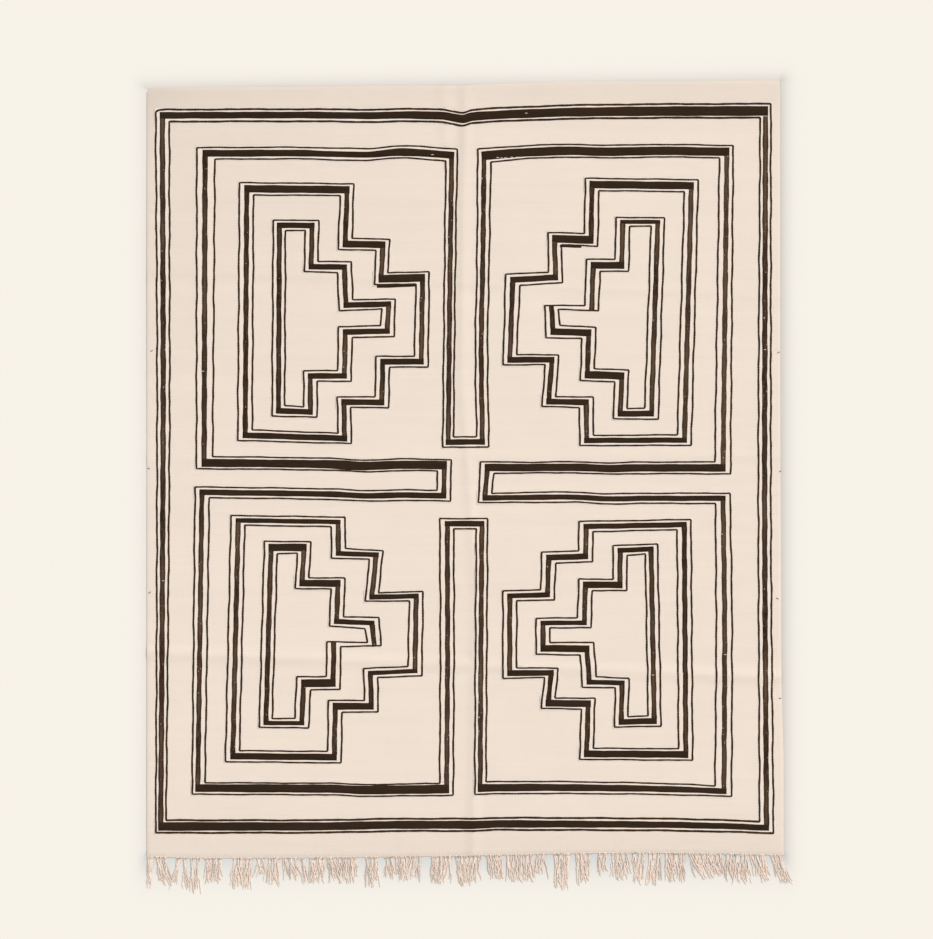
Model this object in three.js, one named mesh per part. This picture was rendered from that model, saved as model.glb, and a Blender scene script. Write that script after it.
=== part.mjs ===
// A flat-woven wool kilim with a fringe at one end, lying flat on the floor.
// It is made of two pieces: the woven cloth, which keeps the soft folds of its storage,
// and the row of knotted warp ends, on a narrow strip that is parted from the cloth's end.
// Millimetres, +Z up. The floor is z = 0, the plain end is towards +Y and the fringe towards -Y.
// The origin is on the floor under the middle of the whole outline.
import * as THREE from 'three';

// Driving dimensions of the cloth
const clothThickness = 3;
const leftSelvedge = -1002;
const rightSelvedge = { plainEnd: 996, fringedEnd: 1006 };

// The two ends aren't quite straight: across is measured from the left selvedge,
// plain and fringed are the places of the two ends along Y.
const endLines = [
  { across: 0, plain: 1249, fringed: -1174 },
  { across: 170, plain: 1251, fringed: -1178 },
  { across: 485, plain: 1254, fringed: -1177 },
  { across: 1000, plain: 1257, fringed: -1171 },
  { across: 1300, plain: 1269, fringed: -1164 },
  { across: 1560, plain: 1271, fringed: -1161 },
  { across: 1810, plain: 1272, fringed: -1164 },
  { across: 2008, plain: 1273, fringed: -1169 },
];

// Soft folds left from storage: the cloth was folded once across its width and twice along
// its length. A crest stands a few millimetres off the floor and falls away on both sides.
// The middle fold runs down the cloth, and a cross fold from one selvedge to the other.
const foldHalfWidth = 34;
const foldProfileSteps = [-1, -0.45, 0, 0.45, 1];
const middleFold = [
  { y: -1180, x: 14, height: 4 },
  { y: -810, x: 21, height: 5.5 },
  { y: -300, x: 22, height: 3 },
  { y: 330, x: -20, height: 4 },
  { y: 890, x: -17, height: 5 },
  { y: 1100, x: -10, height: 6 },
  { y: 1260, x: -12, height: 3 },
];
const crossFolds = [
  { left: 655, right: 570, leftHeight: 2, rightHeight: 2.5 },
  { left: 78, right: 92, leftHeight: 1.5, rightHeight: 2.5 },
  { left: -535, right: -625, leftHeight: 4.5, rightHeight: 5 },
];

// Spacing of the cloth's mesh on the flat stretches
const flatCell = 170;

// Driving dimensions of the fringe
const partingGap = 0.3;
const stripDepth = 7;
const fringeThickness = 3;
const rootPitch = 7.6;
const fullDepth = 100;
const bendPower = 1.2;
const widestRoot = 4.6;
const widthShare = 0.62;
const tipTaper = 0.7;
const tipCrowding = 3.4;
const unevenLength = 0.2;

// The yarns lie in tufts. from and to are the span of the roots, measured from the left
// selvedge; lean and spread are the shift and the width of the tips; reach is the length.
const tufts = [
  { from: 0, to: 24, lean: -10, spread: 32, reach: 85 },
  { from: 26, to: 66, lean: 14, spread: 30, reach: 79 },
  { from: 92, to: 126, lean: -12, spread: 42, reach: 88 },
  { from: 137, to: 169, lean: -11, spread: 36, reach: 98 },
  { from: 181, to: 235, lean: -3, spread: 44, reach: 70 },
  { from: 270, to: 336, lean: -3, spread: 60, reach: 86 },
  { from: 345, to: 377, lean: -6, spread: 18, reach: 54 },
  { from: 383, to: 421, lean: -10, spread: 28, reach: 80 },
  { from: 424, to: 459, lean: 15, spread: 30, reach: 66 },
  { from: 462, to: 497, lean: 10, spread: 26, reach: 72 },
  { from: 510, to: 560, lean: 0, spread: 32, reach: 74 },
  { from: 566, to: 590, lean: 13, spread: 16, reach: 70 },
  { from: 598, to: 664, lean: 1, spread: 58, reach: 73 },
  { from: 690, to: 727, lean: 3, spread: 38, reach: 85 },
  { from: 746, to: 794, lean: 0, spread: 48, reach: 62 },
  { from: 797, to: 869, lean: -8, spread: 40, reach: 73 },
  { from: 894, to: 964, lean: -12, spread: 62, reach: 77 },
  { from: 973, to: 1055, lean: -6, spread: 58, reach: 84 },
  { from: 1065, to: 1122, lean: 12, spread: 40, reach: 67 },
  { from: 1131, to: 1219, lean: 4, spread: 76, reach: 77 },
  { from: 1229, to: 1260, lean: -4, spread: 20, reach: 70 },
  { from: 1282, to: 1339, lean: -6, spread: 26, reach: 99 },
  { from: 1352, to: 1402, lean: 0, spread: 26, reach: 87 },
  { from: 1424, to: 1453, lean: -5, spread: 20, reach: 63 },
  { from: 1462, to: 1525, lean: 0, spread: 48, reach: 75 },
  { from: 1529, to: 1573, lean: -1, spread: 24, reach: 91 },
  { from: 1579, to: 1623, lean: 0, spread: 32, reach: 89 },
  { from: 1633, to: 1702, lean: 5, spread: 42, reach: 82 },
  { from: 1708, to: 1759, lean: 20, spread: 36, reach: 72 },
  { from: 1762, to: 1816, lean: 6, spread: 36, reach: 63 },
  { from: 1822, to: 1898, lean: 4, spread: 60, reach: 82 },
  { from: 1901, to: 1955, lean: 20, spread: 38, reach: 78 },
  { from: 1965, to: 2004, lean: 28, spread: 26, reach: 81 },
];

const { lerp } = THREE.MathUtils;

// Value of a table's column at a place between its rows
function alongTable(table, place, placeName, valueName) {
  const later = table.findIndex((row) => row[placeName] >= place);
  const next = later < 0 ? table.length - 1 : Math.max(1, later);
  const before = table[next - 1];
  const after = table[next];
  const share = (place - before[placeName]) / (after[placeName] - before[placeName]);
  return lerp(before[valueName], after[valueName], share);
}

// Share of the width from the left selvedge, and of the length from the fringed end
function shareAcross(x) {
  return (x - leftSelvedge) / (rightSelvedge.plainEnd - leftSelvedge);
}
function shareAlong(y) {
  return (y - endLines[0].fringed) / (endLines[0].plain - endLines[0].fringed);
}

// The cloth's height off the floor at a place
function lift(x, y) {
  const bump = (distance) => Math.max(0, 1 - (distance / foldHalfWidth) ** 2) ** 2;
  const across = shareAcross(x);
  const foldX = alongTable(middleFold, y, 'y', 'x');
  const heights = [alongTable(middleFold, y, 'y', 'height') * bump(x - foldX)];
  for (const fold of crossFolds) {
    const foldY = lerp(fold.left, fold.right, across);
    heights.push(lerp(fold.leftHeight, fold.rightHeight, across) * bump(y - foldY));
  }
  return Math.max(...heights);
}

// Adds the lines that lead from the last line of a list to the next one, that one included.
// A line is a function of the place on it, and size is the space between the two.
function addLinesTo(lines, line, size) {
  const before = lines.at(-1);
  const count = Math.ceil(size / flatCell);
  for (let k = 1; k <= count; k += 1) {
    lines.push((place) => lerp(before(place), line(place), k / count));
  }
}

// Mesh lines down the cloth, from the left selvedge to the right one, closer at the middle
// fold. Each gives its place along X at a place along Y.
function columnLines() {
  const foldSide = (step) => (y) => alongTable(middleFold, y, 'y', 'x') + step * foldHalfWidth;
  const rightLine = (y) => lerp(rightSelvedge.fringedEnd, rightSelvedge.plainEnd, shareAlong(y));
  const lines = [() => leftSelvedge];
  addLinesTo(lines, foldSide(foldProfileSteps[0]), -leftSelvedge);
  lines.push(...foldProfileSteps.slice(1).map(foldSide));
  addLinesTo(lines, rightLine, rightSelvedge.plainEnd);
  return lines;
}

// Mesh lines across the cloth, from the plain end to the fringed one, closer at each cross
// fold. Each gives its place along Y at a share of the width.
function rowLines() {
  const endLine = (name) => (share) => (
    alongTable(endLines, share * endLines.at(-1).across, 'across', name)
  );
  const lines = [endLine('plain')];
  let lastPlace = endLines[0].plain;
  for (const fold of crossFolds) {
    const foldSide = (step) => (share) => lerp(fold.left, fold.right, share) - step * foldHalfWidth;
    addLinesTo(lines, foldSide(foldProfileSteps[0]), lastPlace - fold.left);
    lines.push(...foldProfileSteps.slice(1).map(foldSide));
    lastPlace = fold.left;
  }
  addLinesTo(lines, endLine('fringed'), lastPlace - endLines[0].fringed);
  return lines;
}

// Where the mesh lines of the cloth cross, row by row
function clothPlaces() {
  const columns = columnLines();
  return rowLines().map((row) => columns.map((column) => {
    const nearY = row(shareAcross(column(0)));
    const y = row(shareAcross(column(nearY)));
    return { x: column(y), y };
  }));
}

// A closed sheet: an upper and a lower face on the same places, joined around the rim
function clothGeometry(places) {
  const rowCount = places.length;
  const columnCount = places[0].length;
  const upper = rowCount * columnCount;
  const positions = [];
  for (const top of [0, clothThickness]) {
    for (const { x, y } of places.flat()) positions.push(x, y, lift(x, y) + top);
  }
  const at = (i, j) => j * columnCount + i;
  const faces = [];
  for (let j = 0; j < rowCount - 1; j += 1) {
    for (let i = 0; i < columnCount - 1; i += 1) {
      const [a, b, c, d] = [at(i, j), at(i, j + 1), at(i + 1, j + 1), at(i + 1, j)];
      faces.push(a, c, b, a, d, c);
      faces.push(upper + a, upper + b, upper + c, upper + a, upper + c, upper + d);
    }
  }
  const rim = [
    ...Array.from({ length: columnCount - 1 }, (_, i) => at(i, 0)),
    ...Array.from({ length: rowCount - 1 }, (_, j) => at(columnCount - 1, j)),
    ...Array.from({ length: columnCount - 1 }, (_, i) => at(columnCount - 1 - i, rowCount - 1)),
    ...Array.from({ length: rowCount - 1 }, (_, j) => at(0, rowCount - 1 - j)),
  ];
  rim.forEach((from, k) => {
    const to = rim[(k + 1) % rim.length];
    faces.push(from, upper + from, upper + to, from, upper + to, to);
  });
  const geometry = new THREE.BufferGeometry();
  geometry.setAttribute('position', new THREE.Float32BufferAttribute(positions, 3));
  geometry.setIndex(faces);
  geometry.computeVertexNormals();
  return geometry;
}

// Same scattered share from 0 to 1 for the same number, each time
function scatter(number) {
  return THREE.MathUtils.euclideanModulo(43758.5 * Math.sin(127.1 * number), 1);
}

// Each strand of the fringe by the place of its root and the place that it heads for,
// which it would reach at the fringe's full depth
function strands() {
  const list = [];
  for (const { from, to, lean, spread, reach } of tufts) {
    const count = Math.round((to - from) / rootPitch);
    for (let k = 0; k < count; k += 1) {
      const share = (k + 0.5) / count;
      const root = leftSelvedge + lerp(from, to, share);
      const tip = leftSelvedge + (from + to) / 2 + lean + (share - 0.5) * spread;
      list.push({
        root,
        head: root + (tip - root) * (fullDepth / reach) ** bendPower,
        reach: reach * (1 - unevenLength * scatter(list.length)),
      });
    }
  }
  for (let k = 1; k < list.length; k += 1) {
    list[k].head = Math.max(list[k].head, list[k - 1].head + tipCrowding);
  }
  return list;
}

// The fringe's outline: the strip along the cloth's end, and the strands that leave it.
// All strands bend by the same curve of their depth, so that none crosses its neighbour.
function fringeShape(clothEnd) {
  const endY = (x) => alongTable(clothEnd, x, 'x', 'y');
  const list = strands();
  const placeAt = ({ root, head }, depth) => lerp(root, head, (depth / fullDepth) ** bendPower);
  const shape = new THREE.Shape(
    clothEnd.map(({ x, y }) => new THREE.Vector2(x, y - partingGap)),
  );
  const lowerEdge = (x) => endY(x) - stripDepth;
  shape.lineTo(clothEnd.at(-1).x, lowerEdge(clothEnd.at(-1).x));
  for (let k = list.length - 1; k >= 0; k -= 1) {
    const strand = list[k];
    const side = (depth) => {
      const pitches = [list[k - 1], list[k + 1]]
        .filter((other) => other)
        .map((other) => Math.abs(placeAt(other, depth) - placeAt(strand, depth)));
      const taper = lerp(1, tipTaper, depth / strand.reach);
      return 0.5 * taper * Math.min(widestRoot, widthShare * Math.min(...pitches));
    };
    const depths = [stripDepth, strand.reach / 2, strand.reach];
    for (const depth of depths) {
      shape.lineTo(placeAt(strand, depth) + side(depth), endY(strand.root) - depth);
    }
    for (const depth of depths.toReversed()) {
      shape.lineTo(placeAt(strand, depth) - side(depth), endY(strand.root) - depth);
    }
  }
  shape.lineTo(clothEnd[0].x, lowerEdge(clothEnd[0].x));
  return shape;
}

const undyedWool = new THREE.MeshStandardMaterial({ color: 0xecdccc, roughness: 0.95, metalness: 0 });
const fringeYarn = new THREE.MeshStandardMaterial({ color: 0xe6d3bd, roughness: 0.95, metalness: 0 });

const places = clothPlaces();
const cloth = new THREE.Mesh(clothGeometry(places), undyedWool);
cloth.name = 'kilim_cloth';

const fringe = new THREE.Mesh(
  new THREE.ExtrudeGeometry(fringeShape(places.at(-1)), { depth: fringeThickness, bevelEnabled: false }),
  fringeYarn,
);
fringe.name = 'fringe';

const kilim = new THREE.Group();
kilim.add(cloth, fringe);

// Bring the middle of the whole outline over the origin
const middle = new THREE.Box3().setFromObject(kilim).getCenter(new THREE.Vector3());
kilim.position.set(-middle.x, -middle.y, 0);

export default kilim;
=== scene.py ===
# A flat-woven wool kilim: one cloth with dark woven figures, and a knotted fringe at one end.
# Metres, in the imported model's frame: +Z up, the plain end towards +Y, the fringe towards -Y.
# The weaving is charted in millimetres: across from the left selvedge, along from the
# lowest point of the fringed end, and heights over the floor.
import math
import random

import bpy
import numpy as np
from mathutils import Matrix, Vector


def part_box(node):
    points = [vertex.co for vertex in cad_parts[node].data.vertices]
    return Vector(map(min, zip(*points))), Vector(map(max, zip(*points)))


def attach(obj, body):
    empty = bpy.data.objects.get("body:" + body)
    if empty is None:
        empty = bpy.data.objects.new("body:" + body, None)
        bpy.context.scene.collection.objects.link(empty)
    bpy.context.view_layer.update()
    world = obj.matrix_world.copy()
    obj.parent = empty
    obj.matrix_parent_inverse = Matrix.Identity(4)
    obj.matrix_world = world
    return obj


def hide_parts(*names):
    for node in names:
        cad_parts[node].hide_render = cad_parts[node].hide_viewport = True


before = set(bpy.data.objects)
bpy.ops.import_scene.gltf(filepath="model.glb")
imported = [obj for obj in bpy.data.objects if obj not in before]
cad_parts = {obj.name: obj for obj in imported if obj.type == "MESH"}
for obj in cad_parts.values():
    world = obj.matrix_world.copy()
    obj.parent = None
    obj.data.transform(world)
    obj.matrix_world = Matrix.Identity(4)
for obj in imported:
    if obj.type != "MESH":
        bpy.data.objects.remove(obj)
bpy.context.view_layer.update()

# The woven cloth
# One weft-faced sheet of undyed wool, 3 mm thick, woven from selvedge to selvedge. It keeps
# the soft folds of its storage: one down the middle and three across.
MM = 0.001
cloth_low, cloth_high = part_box("kilim_cloth")
thickness = 3.0

end_lines = {
    "across": [0, 170, 485, 1000, 1300, 1560, 1810, 2008],
    "plain": [2427, 2429, 2432, 2435, 2447, 2449, 2450, 2451],
    "fringed": [4, 0, 1, 7, 14, 17, 14, 9],
}
full_length = 2450
# The right selvedge leans in by 7 mm just below the lowest cross fold, and then a little more
right_selvedge = {
    "along": [0, 310, 560, 780, 1000, 2450],
    "across": [2008, 2008, 2001, 1999, 1998, 1996],
}
width_at_fringed_end = right_selvedge["across"][0]

fold_half_width = 34
# shade is how strong the painted shade is just left of the middle fold's crest
middle_fold = {
    "along": [0, 370, 880, 1510, 2070, 2280, 2440],
    "across": [1028, 1035, 1036, 994, 997, 1004, 1002],
    "height": [3.5, 4.5, 3.0, 2.7, 2.7, 2.9, 2.1],
    "shade": [0.014, 0.018, 0.012, 0.03, 0.065, 0.06, 0.02],
}
# The first fold has its painted shade towards the plain end, as if it had been folded the other way. dark
# and light are how far from the crest the painted shade and the painted light lie, and shade is how strong
# they are.
cross_folds = [
    {"left": 1833, "right": 1748, "left_height": 0.8, "right_height": 1.0,
     "dark": 12, "light": -30, "shade": 0.035},
    {"left": 1256, "right": 1268, "left_height": 1.0, "right_height": 1.6,
     "dark": -9, "light": 10, "shade": 0.008},
    {"left": 646, "right": 568, "left_height": 2.8, "right_height": 4.2,
     "dark": -9, "light": 10, "shade": 0.012},
]
# A small pucker beside the middle fold, at the plain end
pucker = {"across": 938, "half_width": 30, "height": 2.5, "from": 2150, "full_from": 2290}
# A fold's section is a rounded ridge mixed with one that is pinched at its crest
rounded_share = 0.6
pinched_share = 0.4
pinch_softness = 0.02
pinched_height = 0.74
# Between the folds the cloth lies in low waves both ways, and in lower slanting ones
slack_waves = {"height": 0.3, "across": 170, "across_start": 1.3, "along": 230, "along_start": 0.4}
slack_slants = {"height": 0.18, "across": 95, "along": 140, "start": 2.1}


def lay(across, along, height):
    """Points in metres from the chart's millimetres."""
    x = cloth_low[0] + across * MM
    y = cloth_low[1] + along * MM
    return np.stack([x, y, height * MM + 0 * x], axis=-1)


def ridge(distance, half_width):
    """Share of a soft fold's height at a distance from its crest."""
    t = np.minimum(np.abs(distance) / half_width, 1)
    rounded = (1 - t ** 2) ** 2
    pinched = (1 - np.sqrt((t ** 2 + pinch_softness) / (1 + pinch_softness))) ** 2
    return rounded_share * rounded + pinched_share * pinched / pinched_height


def middle_fold_at(along, column):
    """The middle fold's place across, its height or its shade, at places along the rug."""
    return np.interp(along, middle_fold["along"], middle_fold[column])


def cross_fold_line(fold, across):
    """Where a cross fold's crest lies along the rug, and its height, at places across it."""
    share = across / width_at_fringed_end
    crest = fold["left"] + (fold["right"] - fold["left"]) * share
    height = fold["left_height"] + (fold["right_height"] - fold["left_height"]) * share
    return crest, height


def lift(across, along):
    """Height of the cloth's underside off the floor: its folds, and a slight slack between them."""
    crest = middle_fold_at(along, "across")
    ridges = [middle_fold_at(along, "height") * ridge(across - crest, fold_half_width)]
    for fold in cross_folds:
        crest, height = cross_fold_line(fold, across)
        ridges.append(height * ridge(along - crest, fold_half_width))
    strength = np.clip((along - pucker["from"]) / (pucker["full_from"] - pucker["from"]), 0, 1)
    ridges.append(pucker["height"] * strength * ridge(across - pucker["across"], pucker["half_width"]))
    # Where two ridges cross, the higher one shows and the other blends into it
    folds = sum(r ** 4 for r in ridges) ** 0.25
    waves = np.sin(across / slack_waves["across"] + slack_waves["across_start"])
    waves = waves * np.sin(along / slack_waves["along"] + slack_waves["along_start"])
    slants = np.sin(across / slack_slants["across"] - along / slack_slants["along"] + slack_slants["start"])
    slack = slack_waves["height"] * (1 + waves) + slack_slants["height"] * (1 + slants)
    return folds + slack


def spaced(stops, counts):
    """Lines from the first stop to the last, with counts[k] equal steps after the stop k."""
    lines = []
    for before, after, count in zip(stops, stops[1:], counts):
        lines += [before + (after - before) * k / count for k in range(count)]
    return lines + [stops[-1]]


# The two faces end this far inside the edge. The counts are the mesh's steps beside the folds and
# over them.
rim_inset = 0.9
column_counts = [78, 12, 78]
row_counts = [43, 12, 45, 12, 39, 12, 45]


def columns_at(along):
    """Mesh lines down the cloth, closer over the middle fold, one to each column of places."""
    crest = middle_fold_at(along, "across")
    right = np.interp(along, right_selvedge["along"], right_selvedge["across"])
    stops = [0 * along + rim_inset, crest - fold_half_width, crest + fold_half_width, right - rim_inset]
    return np.stack([line[:, j] for j, line in enumerate(spaced(stops, column_counts))], axis=1)


def cloth_end(across, end):
    """How far along the rug its plain or its fringed end lies, at places across it."""
    return np.interp(across, end_lines["across"], end_lines[end])


def rows_at(across):
    """Mesh lines across the cloth, closer over each cross fold, one to each row of places."""
    stops = [cloth_end(across, "fringed") + rim_inset]
    for fold in reversed(cross_folds):
        crest, _ = cross_fold_line(fold, across)
        stops += [crest - fold_half_width, crest + fold_half_width]
    stops.append(cloth_end(across, "plain") - rim_inset)
    return np.stack([line[i] for i, line in enumerate(spaced(stops, row_counts))], axis=0)


across = np.zeros((sum(row_counts) + 1, 1)) + np.linspace(0, width_at_fringed_end, sum(column_counts) + 1)
# The lines both ways depend on each other, and settle in a few rounds
for _ in range(4):
    along = rows_at(across)
    across = columns_at(along)

# The left corner of the plain end is a little rounded
corner_radius = 14
off_side = np.maximum(corner_radius - across, 0)
off_end = np.maximum(corner_radius - (along[-1:, :] - along), 0)
too_far = np.maximum(np.hypot(off_side, off_end) / corner_radius, 1)
across = across + off_side * (1 - 1 / too_far)
along = along - off_end * (1 - 1 / too_far)

row_total, column_total = across.shape
places = np.arange(row_total * column_total).reshape(row_total, column_total)
squares = np.stack([places[:-1, :-1], places[:-1, 1:], places[1:, 1:], places[1:, :-1]], axis=-1)
squares = squares.reshape(-1, 4)
rim = np.concatenate([places[0, :-1], places[:-1, -1], places[-1, :0:-1], places[:0:-1, 0]])
rim_across = across.reshape(-1)[rim]
rim_along = along.reshape(-1)[rim]
onwards = np.stack([np.roll(rim_across, -1) - np.roll(rim_across, 1),
                    np.roll(rim_along, -1) - np.roll(rim_along, 1)])
onwards /= np.linalg.norm(onwards, axis=0)
# The rounded edge, as steps outwards and heights from the underside. The fringed end is thinner
# and slopes down to its knots.
rim_profile = [(0.6, 2.75), (0.9, 2.1), (0.9, 0.9), (0.6, 0.25)]
fringed_slope = 2
fringed_thinning = 0.25
fringed_side = np.maximum(onwards[0], 0)

underside = lift(across, along)
points = [lay(across, along, underside + thickness).reshape(-1, 3)]
rim_lift = lift(rim_across, rim_along)
for outwards, height in rim_profile:
    outwards = outwards * (1 + fringed_slope * fringed_side)
    points.append(lay(rim_across + onwards[1] * outwards, rim_along - onwards[0] * outwards,
                      rim_lift + height * (1 - fringed_thinning * fringed_side)))
points.append(lay(across, along, underside).reshape(-1, 3))
upper_count = row_total * column_total
last_start = upper_count + len(rim_profile) * len(rim)
rings = [rim] + [upper_count + k * len(rim) + np.arange(len(rim)) for k in range(len(rim_profile))]
rings.append(last_start + rim)
faces = [squares, last_start + squares[:, ::-1]]
for upper, lower in zip(rings, rings[1:]):
    faces.append(np.stack([upper, lower, np.roll(lower, -1), np.roll(upper, -1)], axis=-1))


def add_piece(name, points, faces, material, shades=None):
    """A mesh that rides on the rug's one body, smooth but for its end caps, which have more than
    four corners. shades gives each point a number to paint by."""
    mesh = bpy.data.meshes.new(name)
    mesh.from_pydata(points.tolist(), [], faces)
    mesh.polygons.foreach_set("use_smooth", [len(face) == 4 for face in faces])
    for title, values in (shades or {}).items():
        mesh.attributes.new(title, "FLOAT", "POINT").data.foreach_set("value", values.astype(np.float32))
    mesh.materials.append(material)
    mesh.validate()
    piece = bpy.data.objects.new(name, mesh)
    bpy.context.scene.collection.objects.link(piece)
    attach(piece, "root")
    return piece


def add_node(tree, kind, values=None, **settings):
    """A shader node, whose sockets get numbers, colours or other nodes' outputs."""
    made = tree.nodes.new("ShaderNode" + kind)
    for key, value in settings.items():
        setattr(made, key, value)
    for socket, value in (values or {}).items():
        if isinstance(value, bpy.types.NodeSocket):
            tree.links.new(value, made.inputs[socket])
        else:
            made.inputs[socket].default_value = value
    return made


def maths(tree, operation, *values):
    """The result of a Math node."""
    return add_node(tree, "Math", dict(enumerate(values)), operation=operation).outputs[0]


def noise_at(tree, place, size, detail=2.0):
    """Soft noise from 0 to 1 with spots of that size in millimetres along X, Y and Z."""
    stretch = tuple(1 / s for s in size)
    scaled = add_node(tree, "VectorMath", {0: place, 1: stretch}, operation="MULTIPLY").outputs[0]
    return add_node(tree, "TexNoise", {"Vector": scaled, "Scale": 1.0, "Detail": detail}).outputs[0]


def start_group(name, inputs, outputs):
    """An empty node group with its ends, for numbers that change over the surface."""
    tree = bpy.data.node_groups.new(name, "ShaderNodeTree")
    for title, value in inputs.items():
        socket = tree.interface.new_socket(title, in_out="INPUT", socket_type="NodeSocketFloat")
        socket.default_value = value
    for title in outputs:
        tree.interface.new_socket(title, in_out="OUTPUT", socket_type="NodeSocketFloat")
    return tree, tree.nodes.new("NodeGroupInput").outputs, tree.nodes.new("NodeGroupOutput").inputs


def millimetres(tree):
    """The place on the rug in millimetres."""
    place = add_node(tree, "TexCoord").outputs["Object"]
    return add_node(tree, "VectorMath", {0: place, "Scale": 1 / MM}, operation="SCALE").outputs[0]


# Weft-faced plain weave: each weft rides over every second warp, and the next over the others.
# Woven by hand, the yarns drift a little from their even places, and fuzz blurs them.
yarn_drift = 2.5
dip_between_warps = 0.25
fuzz_size = (1.6, 0.5, 0.5)
fuzz_height = 0.5
weave, given, result = start_group("Plain weave", {"Warp Spacing": 4.0, "Weft Spacing": 1.5}, ["Height"])
place = millimetres(weave)
drift = add_node(weave, "TexNoise", {"Vector": place, "Scale": 0.04, "Detail": 2.0}).outputs["Color"]
drift = add_node(weave, "VectorMath", {0: drift, "Scale": yarn_drift}, operation="SCALE").outputs[0]
handmade = add_node(weave, "VectorMath", {0: place, 1: drift}, operation="ADD").outputs[0]
parts = add_node(weave, "SeparateXYZ", {0: handmade}).outputs
warps = maths(weave, "DIVIDE", parts["X"], given["Warp Spacing"])
wefts = maths(weave, "DIVIDE", parts["Y"], given["Weft Spacing"])
every_second = maths(weave, "MULTIPLY", maths(weave, "FLOOR", wefts), 0.5)
phase = maths(weave, "MULTIPLY", maths(weave, "ADD", warps, every_second), 2 * math.pi)
over = maths(weave, "COSINE", phase)
crown = maths(weave, "SINE", maths(weave, "MULTIPLY", maths(weave, "FRACT", wefts), math.pi))
over_warps = maths(weave, "MULTIPLY_ADD", over, dip_between_warps, 1 - dip_between_warps)
height = maths(weave, "MULTIPLY", crown, over_warps)
fuzz = noise_at(weave, place, fuzz_size)
weave.links.new(maths(weave, "MULTIPLY_ADD", fuzz, fuzz_height, height), result["Height"])

# Hand-spun weft: each yarn a little lighter or darker, thick and thin places, and wide bands
# where the weaver began another ball. The sizes are those of the spots, in millimetres.
spot_sizes = {"Streaks": (220, 4, 8), "Bands": (1500, 45, 60), "Slubs": (26, 2, 4),
              "Clouds": (160, 190, 100)}
ball_size = (2500, 70, 100)
tone, given, result = start_group(
    "Hand-spun tone", {"Streaks": 0.05, "Bands": 0.05, "Slubs": 0.04, "Clouds": 0.04}, ["Tone", "Ball"])
place = millimetres(tone)
total = 1.0
for title, size in spot_sizes.items():
    spot = maths(tone, "SUBTRACT", noise_at(tone, place, size), 0.5)
    total = maths(tone, "MULTIPLY_ADD", spot, given[title], total)
tone.links.new(total, result["Tone"])
tone.links.new(noise_at(tone, place, ball_size), result["Ball"])


def add_wool(name, bump_height, warp_spacing=4.0, weft_spacing=1.5, sheen=0.05):
    """A matt wool material with its weave, sized in millimetres, and its nodes and shader to paint."""
    material = bpy.data.materials.new(name)
    material.use_nodes = True
    tree = material.node_tree
    shader = tree.nodes["Principled BSDF"]
    shader.inputs["Roughness"].default_value = 0.92
    shader.inputs["Specular IOR Level"].default_value = 0.05
    shader.inputs["Sheen Weight"].default_value = sheen
    shader.inputs["Sheen Roughness"].default_value = 0.6
    threads = add_node(tree, "Group", {"Warp Spacing": warp_spacing, "Weft Spacing": weft_spacing},
                       node_tree=weave)
    relief = add_node(tree, "Bump", {"Height": threads.outputs["Height"], "Distance": bump_height * MM})
    tree.links.new(relief.outputs[0], shader.inputs["Normal"])
    return material, tree, shader


def between_colours(tree, share, first, second):
    """A colour from the first to the second."""
    blend = add_node(tree, "Mix", {"Factor": share, "A": (*first, 1), "B": (*second, 1)}, data_type="RGBA")
    return blend.outputs["Result"]


def point_value(tree, title):
    """A number that the mesh gives for each of its points."""
    return add_node(tree, "Attribute", attribute_name=title).outputs["Fac"]


def hand_spun(tree, amounts):
    """The hand-spun tone, with how strongly its streaks, bands, slubs and clouds show."""
    return add_node(tree, "Group", amounts, node_tree=tone).outputs


def paint(tree, shader, colour, value):
    """Paint with a colour that is made lighter or darker by a number around 1."""
    painted = add_node(tree, "HueSaturation", {"Value": value, "Color": colour}).outputs[0]
    tree.links.new(painted, shader.inputs["Base Color"])


ground_wool, tree, shader = add_wool("undyed wool", 0.5)
yarn = hand_spun(tree, {"Streaks": 0.05, "Bands": 0.05, "Slubs": 0.03, "Clouds": 0.05})
cream = between_colours(tree, yarn["Ball"], (0.905, 0.772, 0.667), (0.90, 0.78, 0.655))
# The cream is darkened by painted shade beside the folds, lightened by painted light, and darker at both
# ends
paint(tree, shader, cream, maths(tree, "SUBTRACT", yarn["Tone"], point_value(tree, "painted_shade_and_darkening")))

# How strong the painted shade and light beside the folds and the darkening at the ends are, and how far they
# reach
crease_shade_left_of_crest = 10
crease_shade_reach = 12
painted_light_share = 0.6
painted_light_reach = 20
end_darkening = {"shade": 0.05, "reach": 120}
corner_darkening = [
    {"shade": 0.055, "across": 700, "along": 900},
    {"shade": 0.06, "across": 130, "along": 130},
]


def fading(distance, reach=1):
    """1 where the distance is 0, fading softly to nothing past its reach."""
    return np.exp(-(distance / reach) ** 2)


def painted_shade_and_darkening_at(across, along):
    """Painted shade and light by the folds, and darker wool at both ends and round the plain end's left."""
    crest = middle_fold_at(along, "across")
    shade = middle_fold_at(along, "shade") * fading(across - crest + crease_shade_left_of_crest, crease_shade_reach)
    for fold in cross_folds:
        crest, _ = cross_fold_line(fold, across)
        painted_light = fading(along - crest - fold["light"], painted_light_reach)
        shade = shade + fold["shade"] * fading(along - crest - fold["dark"], crease_shade_reach)
        shade = shade - fold["shade"] * painted_light_share * painted_light
    from_end = full_length - along
    both_ends = fading(from_end, end_darkening["reach"]) + fading(along, end_darkening["reach"])
    shade = shade + end_darkening["shade"] * both_ends
    for corner in corner_darkening:
        off_corner = np.hypot(across / corner["across"], from_end / corner["along"])
        shade = shade + corner["shade"] * fading(off_corner)
    return shade


points = np.concatenate(points)
# Each point gets its painted shade and light from the folds, and its darkening at both ends
painted_shade_and_darkening = painted_shade_and_darkening_at((points[:, 0] - cloth_low[0]) / MM, (points[:, 1] - cloth_low[1]) / MM)
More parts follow.
